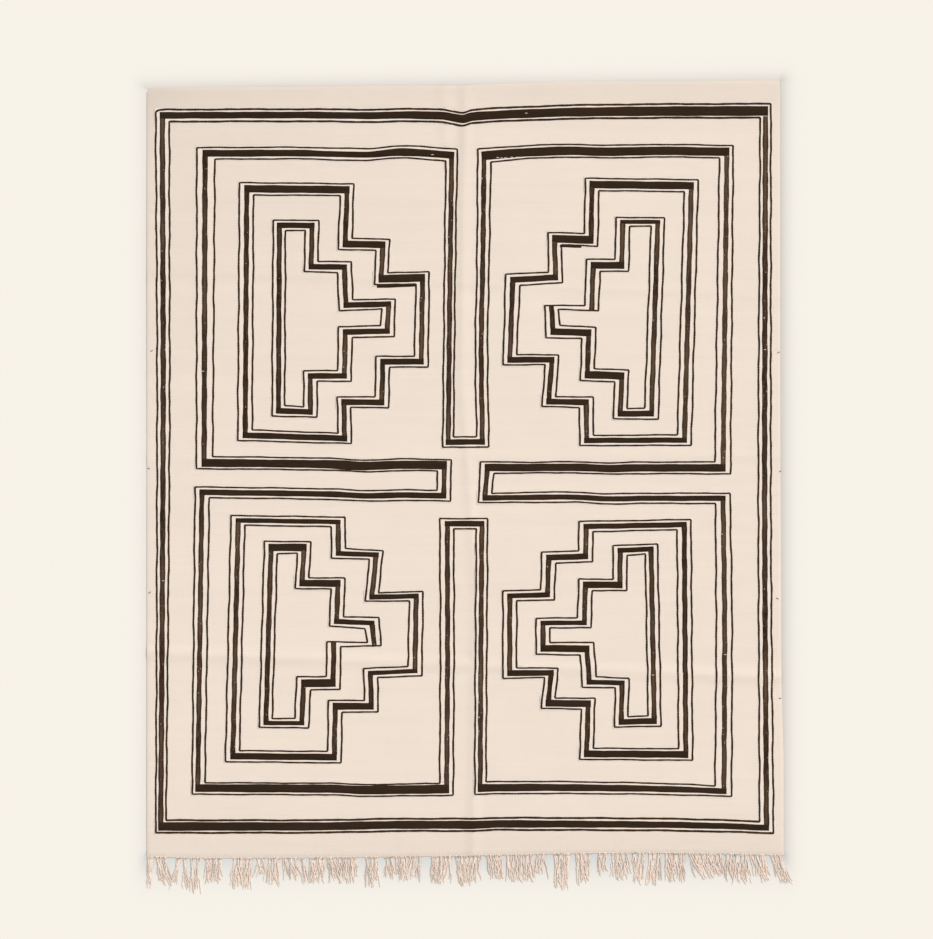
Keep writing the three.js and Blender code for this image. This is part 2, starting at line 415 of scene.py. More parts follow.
# The turned edge is painted lighter where it faces away from the lamp, at the left selvedge and
# at the fringed end: painted light that keeps it from looking dark there
left_rim_painted_light = 0.22
fringed_rim_painted_light = 0.25
rim_painted_light = left_rim_painted_light * np.maximum(-onwards[1], 0) + fringed_rim_painted_light * fringed_side
painted_shade_and_darkening[upper_count:last_start] -= np.tile(rim_painted_light, len(rim_profile))
cloth = add_piece("woven_cloth", points, np.concatenate(faces).tolist(), ground_wool,
                  {"painted_shade_and_darkening": painted_shade_and_darkening})
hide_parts("kilim_cloth")

# The pale wefts beside the dark lines
# Whiter wool lies between each dark band and its two thin lines, and for a few threads beyond.
# It is woven in with the rest and shows as a narrow, slightly raised strip.
thin_line_width = 5.8
warp_band_width = 16.3
# A thin line's distance from the middle of a band along the warps, and past the edge of one
# along the wefts
line_beside_warp_band = 21.5
line_past_weft_band = 7.3
pale_margin = 3.3
# Long bends with shorter, lower ones on them, as shares of a line's side step and bend length,
# and what brings them together to about the whole step
waver_bends = ((1.0, 1.0), (0.55, 0.47), (0.25, 0.2))
waver_scale = 0.75
draw = random.Random(11)


def cloth_top(across, along):
    return lift(across, along) + thickness


def waver(distance, amount, length):
    """A gentle uneven line: its side step at each distance, with bends of about that length."""
    step = 0
    for share, factor in waver_bends:
        phase = draw.uniform(0, 2 * math.pi)
        bend = length * factor * draw.uniform(0.85, 1.2)
        step = step + share * np.sin(2 * math.pi * distance / bend + phase)
    return waver_scale * amount * step


def along_run(run, pitch, before, after):
    """Places along a run with their distance from its start. before and after lengthen its ends."""
    corners = np.array(run["places"], float)
    sides = np.diff(corners, axis=0)
    lengths = np.hypot(sides[:, 0], sides[:, 1])
    marks = np.concatenate([[0], np.cumsum(lengths)])
    corners[0] -= sides[0] / lengths[0] * before
    corners[-1] += sides[-1] / lengths[-1] * after
    marks[0] -= before
    marks[-1] += after
    count = max(2, round((marks[-1] - marks[0]) / pitch))
    distance = np.linspace(marks[0], marks[-1], count + 1)
    # A smooth curve through the places, which never swings beyond them
    rates = np.diff(corners, axis=0) / np.diff(marks)[:, None]
    alike = rates[:-1] * rates[1:]
    bends = np.divide(2 * alike, rates[:-1] + rates[1:], out=np.zeros_like(alike), where=alike > 0)
    slopes = np.concatenate([rates[:1], bends, rates[-1:]])
    index = np.clip(np.searchsorted(marks, distance, side="right") - 1, 0, len(marks) - 2)
    span = (marks[index + 1] - marks[index])[:, None]
    t = (distance - marks[index])[:, None] / span
    centre = (1 + 2 * t) * (1 - t) ** 2 * corners[index] + t ** 2 * (3 - 2 * t) * corners[index + 1]
    centre += span * t * (1 - t) * ((1 - t) * slopes[index] - t * slopes[index + 1])
    return centre, distance


def ribbon(centre, sideways, height):
    """Rings of a ribbon in the cloth. sideways and height have a row for each place on it."""
    onwards = np.gradient(centre, axis=0)
    onwards /= np.linalg.norm(onwards, axis=1, keepdims=True)
    across = centre[:, :1] - onwards[:, 1:] * sideways
    along = centre[:, 1:] + onwards[:, :1] * sideways
    return lay(across, along, cloth_top(across, along) + height)


def add_skins(name, skins, material):
    """A piece of closed skins, each over a row of rings and capped at its ends."""
    points, faces, shades, start = [], [], {}, 0
    for rings, values in skins:
        count, sides = rings.shape[:2]
        index = start + np.arange(count * sides).reshape(count, sides)
        after = np.roll(index, -1, axis=1)
        quads = np.stack([index[:-1], after[:-1], after[1:], index[1:]], axis=-1)
        faces += quads.reshape(-1, 4).tolist()
        faces += [index[0, ::-1].tolist(), index[-1].tolist()]
        points.append(rings.reshape(-1, 3))
        for title, value in values.items():
            shades.setdefault(title, []).append(np.broadcast_to(value, (count, sides)).reshape(-1))
        start += count * sides
    shades = {title: np.concatenate(values) for title, values in shades.items()}
    return add_piece(name, np.concatenate(points), faces, material, shades)


# Each figure has a long back, and steps in from it to a blunt point and out again. sides are where
# its back and its five steps lie, and leans how far each moves right on its way down. edges are
# its six edges along the wefts from the plain end down, and drops how far each falls to the right.
# back_lines are the distances of the back's outer and inner thin line, and faded is how much paler
# the back is, or darker where it is below 0. Where an edge's width is 0, its band is left out.
figures = [
    {"sides": (312, 628, 741, 867, 742, 622), "leans": (-5, -6, -6, -4, -3, 3),
     "edges": (2108, 1934, 1827, 1564, 1436, 1327), "drops": (3, 3, -3, 0, 1, 10),
     "widths": (24, 22, 25, 19, 19, 19), "back_lines": (23, 21.5), "faded": -0.06},
    {"sides": (416, 519, 625, 760, 624, 515), "leans": (-3, -3, 5, -4, -3, 0),
     "edges": (1994, 1863, 1744, 1659, 1519, 1407), "drops": (0, 2, -4, -3, 0, 4),
     "widths": (18, 18, 18, 18, 18, 18), "back_lines": (19.5, 19), "faded": -0.12},
    {"sides": (1706, 1402, 1287, 1149, 1272, 1386), "leans": (-22, -3, 3, -9, -10, 1),
     "edges": (2121, 1950, 1826, 1570, 1437, 1316), "drops": (4, 4, -7, 0, 2, -1),
     "widths": (24, 25, 19, 19, 19, 17), "back_lines": (21.5, 22), "faded": 0.2},
    {"sides": (1601, 1499, 1405, 1278, 1391, 1495), "leans": (-20, -3, -5, 5, -5, -5),
     "edges": (2005, 1868, 1734, 1657, 1521, 1400), "drops": (0, 0, 2, 4, 4, 0),
     "widths": (13, 22, 0, 22, 24, 19), "back_lines": (21.5, 21), "faded": 0},
    {"sides": (279, 603, 716, 847, 706, 592), "leans": (-17, 1, -14, -4, 2, -3),
     "edges": (1061, 957, 823, 585, 477, 318), "drops": (5, 5, -3, -6, 0, 3),
     "widths": (15, 16, 16, 14, 22, 21), "back_lines": (23, 21), "faded": 0.05},
    {"sides": (383, 492, 600, 713, 588, 491), "leans": (-16, -7, -5, 7, -2, -6),
     "edges": (978, 865, 742, 673, 550, 424), "drops": (0, 1, 5, 0, -1, 1),
     "widths": (24, 22, 16, 0, 25, 14), "back_lines": (21, 19.5), "faded": 0},
    {"sides": (1697, 1384, 1265, 1144, 1270, 1389), "leans": (5, -1, -4, 0, -10, -6),
     "edges": (1047, 948, 827, 582, 486, 326), "drops": (-6, -4, -3, -1, 1, 2),
     "widths": (17, 19, 16, 19, 22, 22), "back_lines": (21.5, 23), "faded": -0.12},
    {"sides": (1595, 1492, 1381, 1249, 1391, 1497), "leans": (10, 0, -4, 0, 7, -3),
     "edges": (971, 860, 740, 659, 552, 429), "drops": (-5, 1, -1, 1, 3, -3),
     "widths": (16, 21, 15, 22, 16, 19), "back_lines": (21, 19), "faded": 0},
]


def figure_runs(figure):
    """A figure's outline as runs from corner to corner, clockwise."""
    sides = list(zip(figure["sides"], figure["leans"]))
    corners = []
    for number, (edge, drop) in enumerate(zip(figure["edges"], figure["drops"])):
        (start, start_lean), (end, end_lean) = sides[number], sides[(number + 1) % 6]
        # It goes from one side's foot to the next one's top, and the outer two meet the back's ends
        start += start_lean / 2 * (-1 if number == 0 else 1)
        end += end_lean / 2 * (1 if number == 5 else -1)
        fall = drop / 2 if end > start else -drop / 2
        corners += [(start, edge + fall), (end, edge - fall)]
    widths = list(figure["widths"])
    if sides[0] > sides[3]:
        corners.reverse()
        widths.reverse()
    runs = []
    for number, (start, end) in enumerate(zip(corners, corners[1:] + corners[:1])):
        weftwise = number % 2 == 0
        width = widths[number // 2] if weftwise else warp_band_width
        runs.append({"places": [start, end], "weftwise": weftwise, "widths": (width, width)})
    # The last run is the back
    runs[-1]["lines"] = (figure["back_lines"], figure["back_lines"])
    runs[-1]["faded"] = figure["faded"]
    return runs


def chain(rows):
    """Runs from rows of widths, places from one corner to the next, and where they differ from the
    usual, the outer and inner thin line's distances at the start and at the end."""
    runs = []
    for widths, places, *lines in rows:
        (x0, y0), (x1, y1) = places[0], places[-1]
        runs.append({"places": places, "weftwise": abs(x1 - x0) > abs(y1 - y0), "widths": widths})
        if lines:
            runs[-1]["lines"] = lines[0]
    return runs


border = chain([
    ((21.5, 21.5, 22, 27, 28, 31, 31.5),
     [(48, 2341), (500, 2342), (690, 2340), (800, 2342), (930, 2340), (966, 2334), (995, 2329),
      (1025, 2337), (1045, 2339), (1210, 2347), (1335, 2351), (1600, 2354), (1951, 2355)],
     ((18, 19.5), (22.5, 21))),
    ((17, 17), [(1951, 2352), (1948, 1200), (1954, 94)], ((16.5, 17), (22.5, 22.5))),
    ((19, 20.5, 22.5, 26, 25.5, 27, 28),
     [(1954, 94), (1750, 101), (1560, 104), (1115, 106), (1020, 103), (820, 103), (500, 98), (43, 98)],
     ((17.5, 19), (20, 19.5))),
    ((17, 17), [(43, 98), (48, 800), (51, 1500), (48, 2341)], ((15.5, 17), (21, 22))),
])
# The frame around the four quarters is one line too, with a slot from each side to the middle
quarter_frame = chain([
    ((22, 22, 21, 18, 25, 22),
     [(183, 2221), (468, 2222), (578, 2219), (689, 2217), (805, 2225), (961, 2215)],
     ((18, 18), (20, 18))),
    ((16, 16), [(961, 2216), (956, 1870), (950, 1310)], ((16.5, 17.5), (16.5, 17.5))),
    ((18, 18), [(950, 1310), (1058, 1311)]),
    ((16, 16), [(1058, 1311), (1054, 1600), (1059, 1880), (1063, 2214)], ((18.3, 20), (18.3, 20))),
    ((28, 27), [(1063, 2214), (1210, 2225), (1335, 2229), (1463, 2226), (1600, 2229), (1829, 2226)],
     ((21, 20), (20, 19))),
    ((16, 16), [(1829, 2226), (1817, 1229)], ((19.5, 23), (23.5, 26))),
    ((24, 24), [(1817, 1229), (1556, 1229), (1462, 1227), (1336, 1231), (1210, 1230), (1073, 1230)],
     ((18.5, 18.5), (16.5, 16.5))),
    ((16, 16), [(1073, 1230), (1066, 1134)]),
    ((17, 17), [(1066, 1134), (1210, 1136), (1336, 1137), (1462, 1131), (1556, 1133), (1817, 1133)]),
    ((16, 16), [(1817, 1133), (1822, 700), (1820, 209)], ((22, 24), (24.5, 29))),
    ((18, 25), [(1820, 209), (1668, 215), (1463, 219), (1210, 221), (1051, 219)]),
    ((16, 16), [(1051, 219), (1052, 450), (1056, 1053)], ((17.2, 18.3), (17.2, 18.3))),
    ((18, 18), [(1056, 1053), (947, 1053)]),
    ((16, 16), [(947, 1053), (948, 700), (945, 216)], ((20.3, 24), (20.3, 21.5))),
    ((28, 28, 26, 26, 24), [(945, 216), (690, 213), (570, 217), (160, 219)], ((19.5, 17.5), (19.5, 17))),
    ((16, 16), [(160, 219), (173, 1152)], ((17.5, 22.7), (22, 23.5))),
    ((18.5, 18.5), [(173, 1152), (579, 1146), (689, 1141), (815, 1143), (936, 1141)]),
    ((16, 16), [(936, 1141), (938, 1237)]),
    ((28, 26, 29, 25, 25, 27),
     [(938, 1237), (816, 1239), (689, 1235), (579, 1240), (470, 1242), (180, 1245)],
     ((18, 18), (18.5, 19.5))),
    ((17, 17), [(180, 1245), (183, 2221)], ((24, 26.5), (26, 31))),
])
outlines = [border, quarter_frame] + [figure_runs(figure) for figure in figures]


def line_distance(run, out, end):
    """How far a thin line lies from the run's middle at its start, 0, or its end, 1."""
    if "lines" in run:
        return run["lines"][end][0 if out > 0 else 1]
    return run["widths"][-end] / 2 + line_past_weft_band if run["weftwise"] else line_beside_warp_band


def half_widths(run, distance):
    """Half the band's width at each distance. The run's widths stand evenly along it."""
    spots = np.linspace(0, distance[-1], len(run["widths"]))
    return np.interp(distance, spots, run["widths"]) / 2


def pale_reach(run, out, end):
    """How far the pale wefts reach from the run's middle."""
    return line_distance(run, out, end) + thin_line_width / 2 + pale_margin


pale_wool, tree, shader = add_wool("whiter wool", 0.5)
yarn = hand_spun(tree, {"Streaks": 0.05, "Slubs": 0.05})
whiter = between_colours(tree, point_value(tree, "whiteness"), (0.90, 0.772, 0.665), (0.915, 0.795, 0.69))
paint(tree, shader, whiter, yarn["Tone"])

pale_step = 6.5
weftwise_rise = 0.06
warpwise_rise = 0.03
pale_edge = -0.05
# The hidden keel is deep enough to stay under the surface where a fold's side is hollow
pale_keel = -2.2
# The strip's inner places, as shares of the way out to its thin line
inner_places = (0.72, 0.44, 0.15)
# A narrow gap is nearly all white, and a wide one is nearly plain ground wool in its middle
gap_distances = (18, 26)
gap_whiteness = (0.85, 0.1)

pale_strips = []
for outline in outlines:
    for number, run in enumerate(outline):
        before, after = outline[number - 1], outline[(number + 1) % len(outline)]
        if run["weftwise"]:
            rise = weftwise_rise
            past_start, past_end = pale_reach(before, 1, 1), pale_reach(after, 1, 0)
        else:
            # It lies a little lower, and its ends are under the edges of the strips that it meets
            rise = warpwise_rise
            past_start, past_end = -line_distance(before, 1, 1), -line_distance(after, 1, 0)
        centre, distance = along_run(run, pale_step, past_start, past_end)
        ends = [distance[0], distance[-1]]
        left = np.interp(distance, ends, [pale_reach(run, 1, 0), pale_reach(run, 1, 1)])[:, None]
        right = np.interp(distance, ends, [pale_reach(run, -1, 0), pale_reach(run, -1, 1)])[:, None]
        left_line, right_line = left - pale_margin, right - pale_margin
        sideways = [left, left_line] + [left_line * share for share in inner_places]
        sideways += [-right_line * share for share in reversed(inner_places)]
        sideways = np.hstack(sideways + [-right_line, -right, 0 * left])
        height = np.array([pale_edge] + [rise] * 8 + [pale_edge, pale_keel]) + 0 * left
        outer, inner = (np.interp(line_distance(run, side, 0), gap_distances, gap_whiteness)
                        for side in (1, -1))
        whiteness = np.array([0, 1, outer, 0.5 + outer / 2, 1, 1, 0.5 + inner / 2, inner, 1, 0, 0])
        pale_strips.append((ribbon(centre, sideways, height), {"whiteness": whiteness}))
add_skins("pale_wefts", pale_strips, pale_wool)

# The wide dark bands along the wefts
# Solid dark brown wool, packed close, a few millimetres to 3 cm wide. The pattern weft shows on
# both faces of the cloth.
dark_wool, tree, shader = add_wool("dark wool", 0.6, 3.4, 1.6, 0.0)
yarn = hand_spun(tree, {"Streaks": 0.6, "Bands": 0.2, "Slubs": 0.8, "Clouds": 0.4})
brown = between_colours(tree, yarn["Ball"], (0.030, 0.0165, 0.0085), (0.043, 0.025, 0.0145))
paint(tree, shader, brown, yarn["Tone"])

# Two stretches of thin line, inside the upper figures, are woven as wide as a narrow band
wide_stitching = [
    {"places": [(733, 1801), (838, 1805)], "weftwise": True, "widths": (9, 9)},
    {"places": [(1310, 1929), (1362, 1927)], "weftwise": True, "widths": (7.5, 7.5)},
]
band_step = 7
shoulder_inset = 0.5
# A band goes right through the cloth and a little past its underside, where it is narrower
through = -(thickness + 0.12)
underside_inset = 0.6
weft_band_form = {"waver": 0.5, "bend": 160, "edge": 0.1, "shoulder": 0.38, "crown": 0.5}


def band(run, before, after, form):
    """Rings of a band, highest along its middle. before and after lengthen its ends."""
    centre, distance = along_run(run, band_step, before, after)
    half = half_widths(run, distance)
    left = (half + waver(distance, form["waver"], form["bend"]))[:, None]
    right = (half + waver(distance, form["waver"], form["bend"]))[:, None]
    sideways = np.hstack([left, left - shoulder_inset, left / 3, -right / 3, shoulder_inset - right, -right,
                          underside_inset - right, left - underside_inset])
    climb = [form["edge"], form["shoulder"], form["crown"]]
    height = np.array(climb + climb[::-1] + [through, through]) + 0 * left
    return ribbon(centre, sideways, height)


weft_bands = []
for outline in outlines + [wide_stitching]:
    for run in outline:
        if run["weftwise"] and min(run["widths"]) > 0:
            weft_bands.append((band(run, warp_band_width / 2, warp_band_width / 2, weft_band_form), {}))
add_skins("weft_bands", weft_bands, dark_wool)

# The wide dark bands along the warps
# The same wool turned round two or three warps at a time, so these bands are looser: darker at
# their edges, with a lighter streak down the middle and specks of the ground wool.
speckled_wool, tree, shader = add_wool("dark wool along the warps", 0.9, 5.0, 2.2, 0.0)
yarn = hand_spun(tree, {"Streaks": 0.0, "Bands": 0.3, "Slubs": 0.7, "Clouds": 0.6})
# Sizes of the loose stretches, of single paler threads and of the specks, in millimetres
loose_stretch = (60, 240, 60)
thread_size = (3.5, 30, 6)
speck_size = (5, 7, 5)
streak_narrowness = 1.2
thread_share = 0.6


def share_between(tree, value, low, high):
    """Where a number stands between two others, from 0 to 1."""
    return add_node(tree, "MapRange", {"Value": value, "From Min": low, "From Max": high}).outputs[0]


def limited(tree, value):
    """A number kept from 0 to 1."""
    return add_node(tree, "Clamp", {0: value}).outputs[0]


place = millimetres(tree)
off_middle = maths(tree, "MULTIPLY", maths(tree, "ABSOLUTE", point_value(tree, "side")), streak_narrowness)
streak = limited(tree, maths(tree, "SUBTRACT", 1.0, off_middle))
looseness = share_between(tree, noise_at(tree, place, loose_stretch), 0.38, 0.62)
threads = share_between(tree, noise_at(tree, place, thread_size), 0.45, 0.70)
streak = maths(tree, "MAXIMUM", maths(tree, "MULTIPLY", streak, looseness),
               maths(tree, "MULTIPLY", threads, thread_share))
streak = limited(tree, maths(tree, "ADD", streak, point_value(tree, "faded")))
body = between_colours(tree, streak, (0.036, 0.019, 0.010), (0.135, 0.084, 0.052))
specks = share_between(tree, noise_at(tree, place, speck_size, 1.0), 0.71, 0.78)
blend = add_node(tree, "Mix", {"Factor": specks, "A": body, "B": (0.55, 0.45, 0.36, 1)}, data_type="RGBA")
paint(tree, shader, blend.outputs["Result"], yarn["Tone"])

# The frame's right side and its lower slot are more loosely woven and look paler
for number, faded in ((5, 0.3), (9, 0.13), (11, 0.1), (13, 0.1)):
    quarter_frame[number]["faded"] = faded

warp_band_form = {"waver": 0.9, "bend": 120, "edge": 0.1, "shoulder": 0.33, "crown": 0.42}
tuck = 2
side_values = np.array([1, 0.9, 0.33, -0.33, -0.9, -1, -1, 1])


def added_length(met_width):
    """What a band gains at a corner. It stops just inside the band that it meets there, or goes on
    to the corner's outer edge where that band is left out."""
    return -(max(met_width / 2 - tuck, 0) or -warp_band_width / 2)


warp_bands = []
for outline in outlines:
    for number, run in enumerate(outline):
        if not run["weftwise"]:
            before = added_length(outline[number - 1]["widths"][-1])
            after = added_length(outline[(number + 1) % len(outline)]["widths"][0])
            warp_bands.append((band(run, before, after, warp_band_form),
                               {"side": side_values, "faded": run.get("faded", 0.0)}))
add_skins("warp_bands", warp_bands, speckled_wool)

# The thin dark lines on both sides of each band
# One dark yarn, stitched along in short beads as the cloth was woven. It runs almost straight
# with the wefts, wavers along the warps, and turns a little softly at each corner.
line_wool, tree, shader = add_wool("dark wool line", 0.3, 3.0, 3.0, 0.0)
yarn = hand_spun(tree, {"Slubs": 0.8, "Clouds": 0.8})
brown = between_colours(tree, yarn["Ball"], (0.038, 0.019, 0.009), (0.055, 0.030, 0.015))
paint(tree, shader, brown, yarn["Tone"])

# All lines are equally wide along the warps. Along the wefts the border's are wider than the others.
line_along_warps = 6.5
border_line_along_wefts = 7.0
other_line_along_wefts = 5.5
line_edge = 0.05
# Between two beads a line is this high and this share of its width, and each bead adds to both
bead_length = 9
waist_height = 0.5
bead_rise = 0.45
waist_share = 0.9
bead_swell = 0.14
# How far a line steps aside, and how long its bends are. It comes straight into its corners.
weftwise_waver = (0.7, 230)
warpwise_waver = (1.2, 210)
width_waver = (0.08, 60)
straight_end = 30
turn_step = 4
soft_turn = (2.5, 2.5)
# The border's outer line cuts its first corner, as distances along the wefts and the warps
border[0]["turn"] = (27, 12)


def outward(run, end):
    """The direction out of the figure at one end of a run, as across and along."""
    first, second = run["places"][:2] if end == 0 else run["places"][-2:]
    side = np.array(second, float) - np.array(first, float)
    side /= np.hypot(*side)
    return np.array([-side[1], side[0]])


def line_path(outline, out):
    """Places of the thin line all round an outline. out is 1 on its outer side and -1 inside it."""
    path = []
    for number, run in enumerate(outline):
        before, after = outline[number - 1], outline[(number + 1) % len(outline)]
        places = [np.array(place, float) for place in run["places"]]
        gaps = np.linspace(line_distance(run, out, 0), line_distance(run, out, 1), len(places)) * out
        start = places[0] + outward(run, 0) * gaps[0]
        start += outward(before, 1) * line_distance(before, out, 1) * out
        end = places[-1] + outward(run, 1) * gaps[-1]
        end += outward(after, 0) * line_distance(after, out, 0) * out
        middle = [place + (outward(run, 0) + outward(run, 1)) / 2 * gap
                  for place, gap in zip(places[1:-1], gaps[1:-1])]
        centre, distance = along_run({"places": [start, *middle, end]}, bead_length / 3, 0, 0)
        left_over = distance[-1] - distance
        amount, length = weftwise_waver if run["weftwise"] else warpwise_waver
        off_corners = np.clip(np.minimum(distance, left_over) / straight_end, 0, 1)
        step = waver(distance, amount, length) * off_corners
        onwards = np.gradient(centre, axis=0)
        onwards /= np.linalg.norm(onwards, axis=1, keepdims=True)
        centre = centre + step[:, None] * onwards[:, ::-1] * np.array([-1, 1])
        turn = run.get("turn", soft_turn) if out > 0 else soft_turn
        next_turn = after.get("turn", soft_turn) if out > 0 else soft_turn
        path.append(centre[(distance > turn[0]) & (left_over > next_turn[1])])
        # The soft turn at the corner, from this run's last place towards the next run
        leave = path[-1][-1]
        arrive = end + np.array([outward(after, 0)[1], -outward(after, 0)[0]]) * next_turn[0]
        count = max(3, round(sum(next_turn) / turn_step))
        t = (np.arange(1, count) / count)[:, None]
        path.append((1 - t) ** 2 * leave + 2 * t * (1 - t) * end + t ** 2 * arrive)
    return np.concatenate(path + [path[0][:2]])


def thin_line(outline, out):
    """Rings of the thin line all round an outline."""
    centre = line_path(outline, out)
    distance = np.concatenate([[0], np.cumsum(np.linalg.norm(np.diff(centre, axis=0), axis=1))])
    bead = np.abs(np.sin(math.pi * distance / bead_length))
    with_wefts = np.abs(np.gradient(centre[:, 0], distance))
    along_wefts = border_line_along_wefts if outline is border else other_line_along_wefts
    width = line_along_warps + (along_wefts - line_along_warps) * with_wefts
    half = (width / 2 * (waist_share + bead_swell * bead) * (1 + waver(distance, *width_waver)))[:, None]
    sideways = half * np.array([1, 0.5, -0.5, -1, 0])
    crown = (waist_height + bead_rise * bead)[:, None] * np.array([0, 1, 1, 0, 0])
    height = np.array([line_edge, 0, 0, line_edge, through]) + crown
    return ribbon(centre, sideways, height)


for name, out in (("outer_thin_lines", 1), ("inner_thin_lines", -1)):
    add_skins(name, [(thin_line(outline, out), {}) for outline in outlines], line_wool)

# The knots at the fringed end
# The warp ends are tied together in small overhand knots close against the last weft.
# Below each row of knots hangs a tuft, from one place to another across the rug. Its tips lie lean
# to the right of its middle, spread over a width, and reach that far out.
tufts = {
    "from": [0, 26, 92, 137, 181, 270, 345, 383, 424, 462, 510, 566, 598, 690, 746, 797, 894, 973, 1065,
             1131, 1229, 1282, 1352, 1424, 1462, 1529, 1579, 1633, 1708, 1762, 1822, 1901, 1965],
    "to": [24, 66, 126, 169, 235, 336, 377, 421, 459, 497, 560, 590, 664, 727, 794, 869, 964, 1055, 1122,
           1219, 1260, 1339, 1402, 1453, 1525, 1573, 1623, 1702, 1759, 1816, 1898, 1955, 2004],
    "lean": [-10, 14, -12, -11, -3, -3, -6, -10, 15, 10, 0, 13, 1, 3, 0, -8, -12, -6, 12, 4,
             -4, -6, 0, -5, 0, -1, 0, 5, 20, 6, 4, 20, 28],
    "spread": [32, 30, 42, 36, 44, 60, 18, 28, 30, 26, 32, 16, 58, 38, 48, 40, 62, 58, 40, 76,
               20, 26, 26, 20, 48, 24, 32, 42, 36, 36, 60, 38, 26],
    "reach": [85, 79, 88, 98, 70, 86, 54, 80, 66, 72, 74, 70, 73, 85, 62, 73, 77, 84, 67, 77,
              70, 99, 87, 63, 75, 91, 89, 82, 72, 63, 82, 78, 81],
}
draw = random.Random(5)
fringe_low, fringe_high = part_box("fringe")
# The yarns' sides, all round
around_yarn = 2 * math.pi * np.arange(6) / 6
least_flatness = 0.05


def tube(path, radius):
    """Rings around a path in millimetres, given as across, along and height."""
    onwards = np.gradient(path, axis=0)
    onwards /= np.linalg.norm(onwards, axis=1, keepdims=True)
    upright = np.array([0.0, 0.0, 1.0])
    flat = np.cross(onwards, upright)
    flat /= np.maximum(np.linalg.norm(flat, axis=1, keepdims=True), least_flatness)
    lofty = np.cross(flat, onwards)
    around = flat[:, None] * np.cos(-around_yarn)[:, None] + lofty[:, None] * np.sin(-around_yarn)[:, None]
    rings = path[:, None] + around * np.asarray(radius)[..., None]
    return lay(rings[..., 0], rings[..., 1], rings[..., 2])


fringe_wool, tree, shader = add_wool("fringe yarn", 0.2, 2.0, 2.0)
shade = point_value(tree, "shade")
yarn = hand_spun(tree, {})
warmth = share_between(tree, shade, 0.55, 0.95)
warm = between_colours(tree, warmth, (0.80, 0.615, 0.48), (0.92, 0.762, 0.65))
paint(tree, shader, warm, maths(tree, "MULTIPLY", yarn["Tone"], shade))

knot_spacing = 14
knot_below_cloth = 4.2
knot_middle = 2.6
knot_yarn_radius = 1.5
knot_shades = [0.76, 0.9, 0.98, 1.0, 1.02, 1.04]
# A knot is one loop and a bit more, this far to each side of its middle
loop_across = 4.2
loop_along = 1.6
loop_rise = 1.1
turn = np.linspace(-0.2, 1.2, 22) * 2 * math.pi
knots = []
knot_rows = []
for start, end in zip(tufts["from"], tufts["to"]):
    count = max(2, round((end - start) / knot_spacing))
    knot_rows.append([start + (end - start) * (k + 0.5) / count + draw.uniform(-2, 2) for k in range(count)])
    for x in knot_rows[-1]:
        y = cloth_end(x, "fringed") - knot_below_cloth + draw.uniform(-1.5, 1.0)
        size = draw.uniform(0.85, 1.15)
        loop = np.stack([x + size * loop_across * np.sin(turn + 0.6),
                         y + size * loop_along * np.cos(2 * turn),
                         knot_middle + size * loop_rise * np.cos(turn)], axis=-1)
        radius = knot_yarn_radius * size * np.ones((len(turn), 1))
        knots.append((tube(loop, radius), {"shade": draw.choice(knot_shades)}))
add_skins("fringe_knots", knots, fringe_wool)

# The fringe
# The free warp ends below the knots: two-ply wool yarns that fan out from each knot, cross one
# another and lie on the floor in uneven tufts.
yarns_per_knot = 5
full_depth = 100
bend_power = 1.2
step_length = 3.5
start_below_cloth = 1.5
# A yarn's middle lies this high on the floor, starts higher in its knot, and may cross others
middle_on_floor = 1.6
height_in_knot = 0.9
crossing_heights = [0.0, 0.0, 1.3, 2.4, 3.4]
yarn_shades = [0.83, 0.9, 0.95, 0.98, 1.0, 1.01, 1.02, 1.03]
# Two plies twisted once round in 12 mm, tapering over the last 6 mm
yarn_radius = 1.35
ply_swell = 0.25
twist_length = 12
taper_length = 6
straight_start = 25

yarns = []
for knot_row, start, end, lean, spread, reach in zip(knot_rows, *tufts.values()):
    for knot in knot_row * yarns_per_knot:
        share = (knot - start) / (end - start)
        root = knot + draw.uniform(-5, 5)
        tip = (start + end) / 2 + lean + (share - 0.5) * spread + draw.uniform(-20, 20)
        length = reach * draw.uniform(0.8, 1.18)
        head = root + (tip - root) * (full_depth / reach) ** bend_power
        depth = np.linspace(0, length, max(6, round(length / step_length)))
        x = root + (head - root) * (depth / full_depth) ** bend_power
        curl = np.minimum(depth / straight_start, 1)
        x = x + curl * waver(depth, draw.uniform(0.6, 4.0), 72)
        crossing = draw.choice(crossing_heights) * np.sin(math.pi * np.clip(depth / length, 0, 1)) ** 2
        z = middle_on_floor + crossing + height_in_knot * np.exp(-depth / 6)
        y = cloth_end(root, "fringed") - start_below_cloth - depth + curl * waver(depth, 1.0, 40)
        path = np.stack([x, y, z], axis=-1)
        ply = 2 * around_yarn[None, :] - (depth / twist_length * 2 * math.pi)[:, None]
        taper = np.clip((length - depth) / taper_length, 0.35, 1)[:, None]
        radius = taper * draw.uniform(0.85, 1.15) * (yarn_radius + ply_swell * np.cos(ply))
        yarns.append((tube(path, radius), {"shade": draw.choice(yarn_shades)}))
fringe = add_skins("fringe_yarns", yarns, fringe_wool)
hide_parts("fringe")

# The ends of the dark yarn
# Short ends of dark yarn lie on the cloth at its selvedges, where a new length was joined in.
# Each is curved down at both tips.
thread_ends = {
    "across": [14, 5, 8, 1992, 1997, 1988, 1997, 27],
    "along": [1598, 1227, 836, 1593, 1218, 817, 502, 1984],
    "slant": [2, -1, 2, 2, 2, -2, 1, 1],
}
thread_end_length = 7


def short_yarn(x, y, length, slant, height, drop, count):
    """Rings of a yarn that lies on the cloth, with its middle that high and its tips lower."""
    share = np.linspace(-1, 1, count)
    path = np.stack([x + length / 2 * share, y + slant * share, height + lift(x, y) - drop * share ** 2],
                    axis=-1)
    return tube(path, np.ones((count, 1)))


ends = []
for x, y, slant in zip(*thread_ends.values()):
    ends.append((short_yarn(x, y, thread_end_length, slant, height=3.9, drop=0.5, count=8), {}))
add_skins("dark_yarn_ends", ends, line_wool)

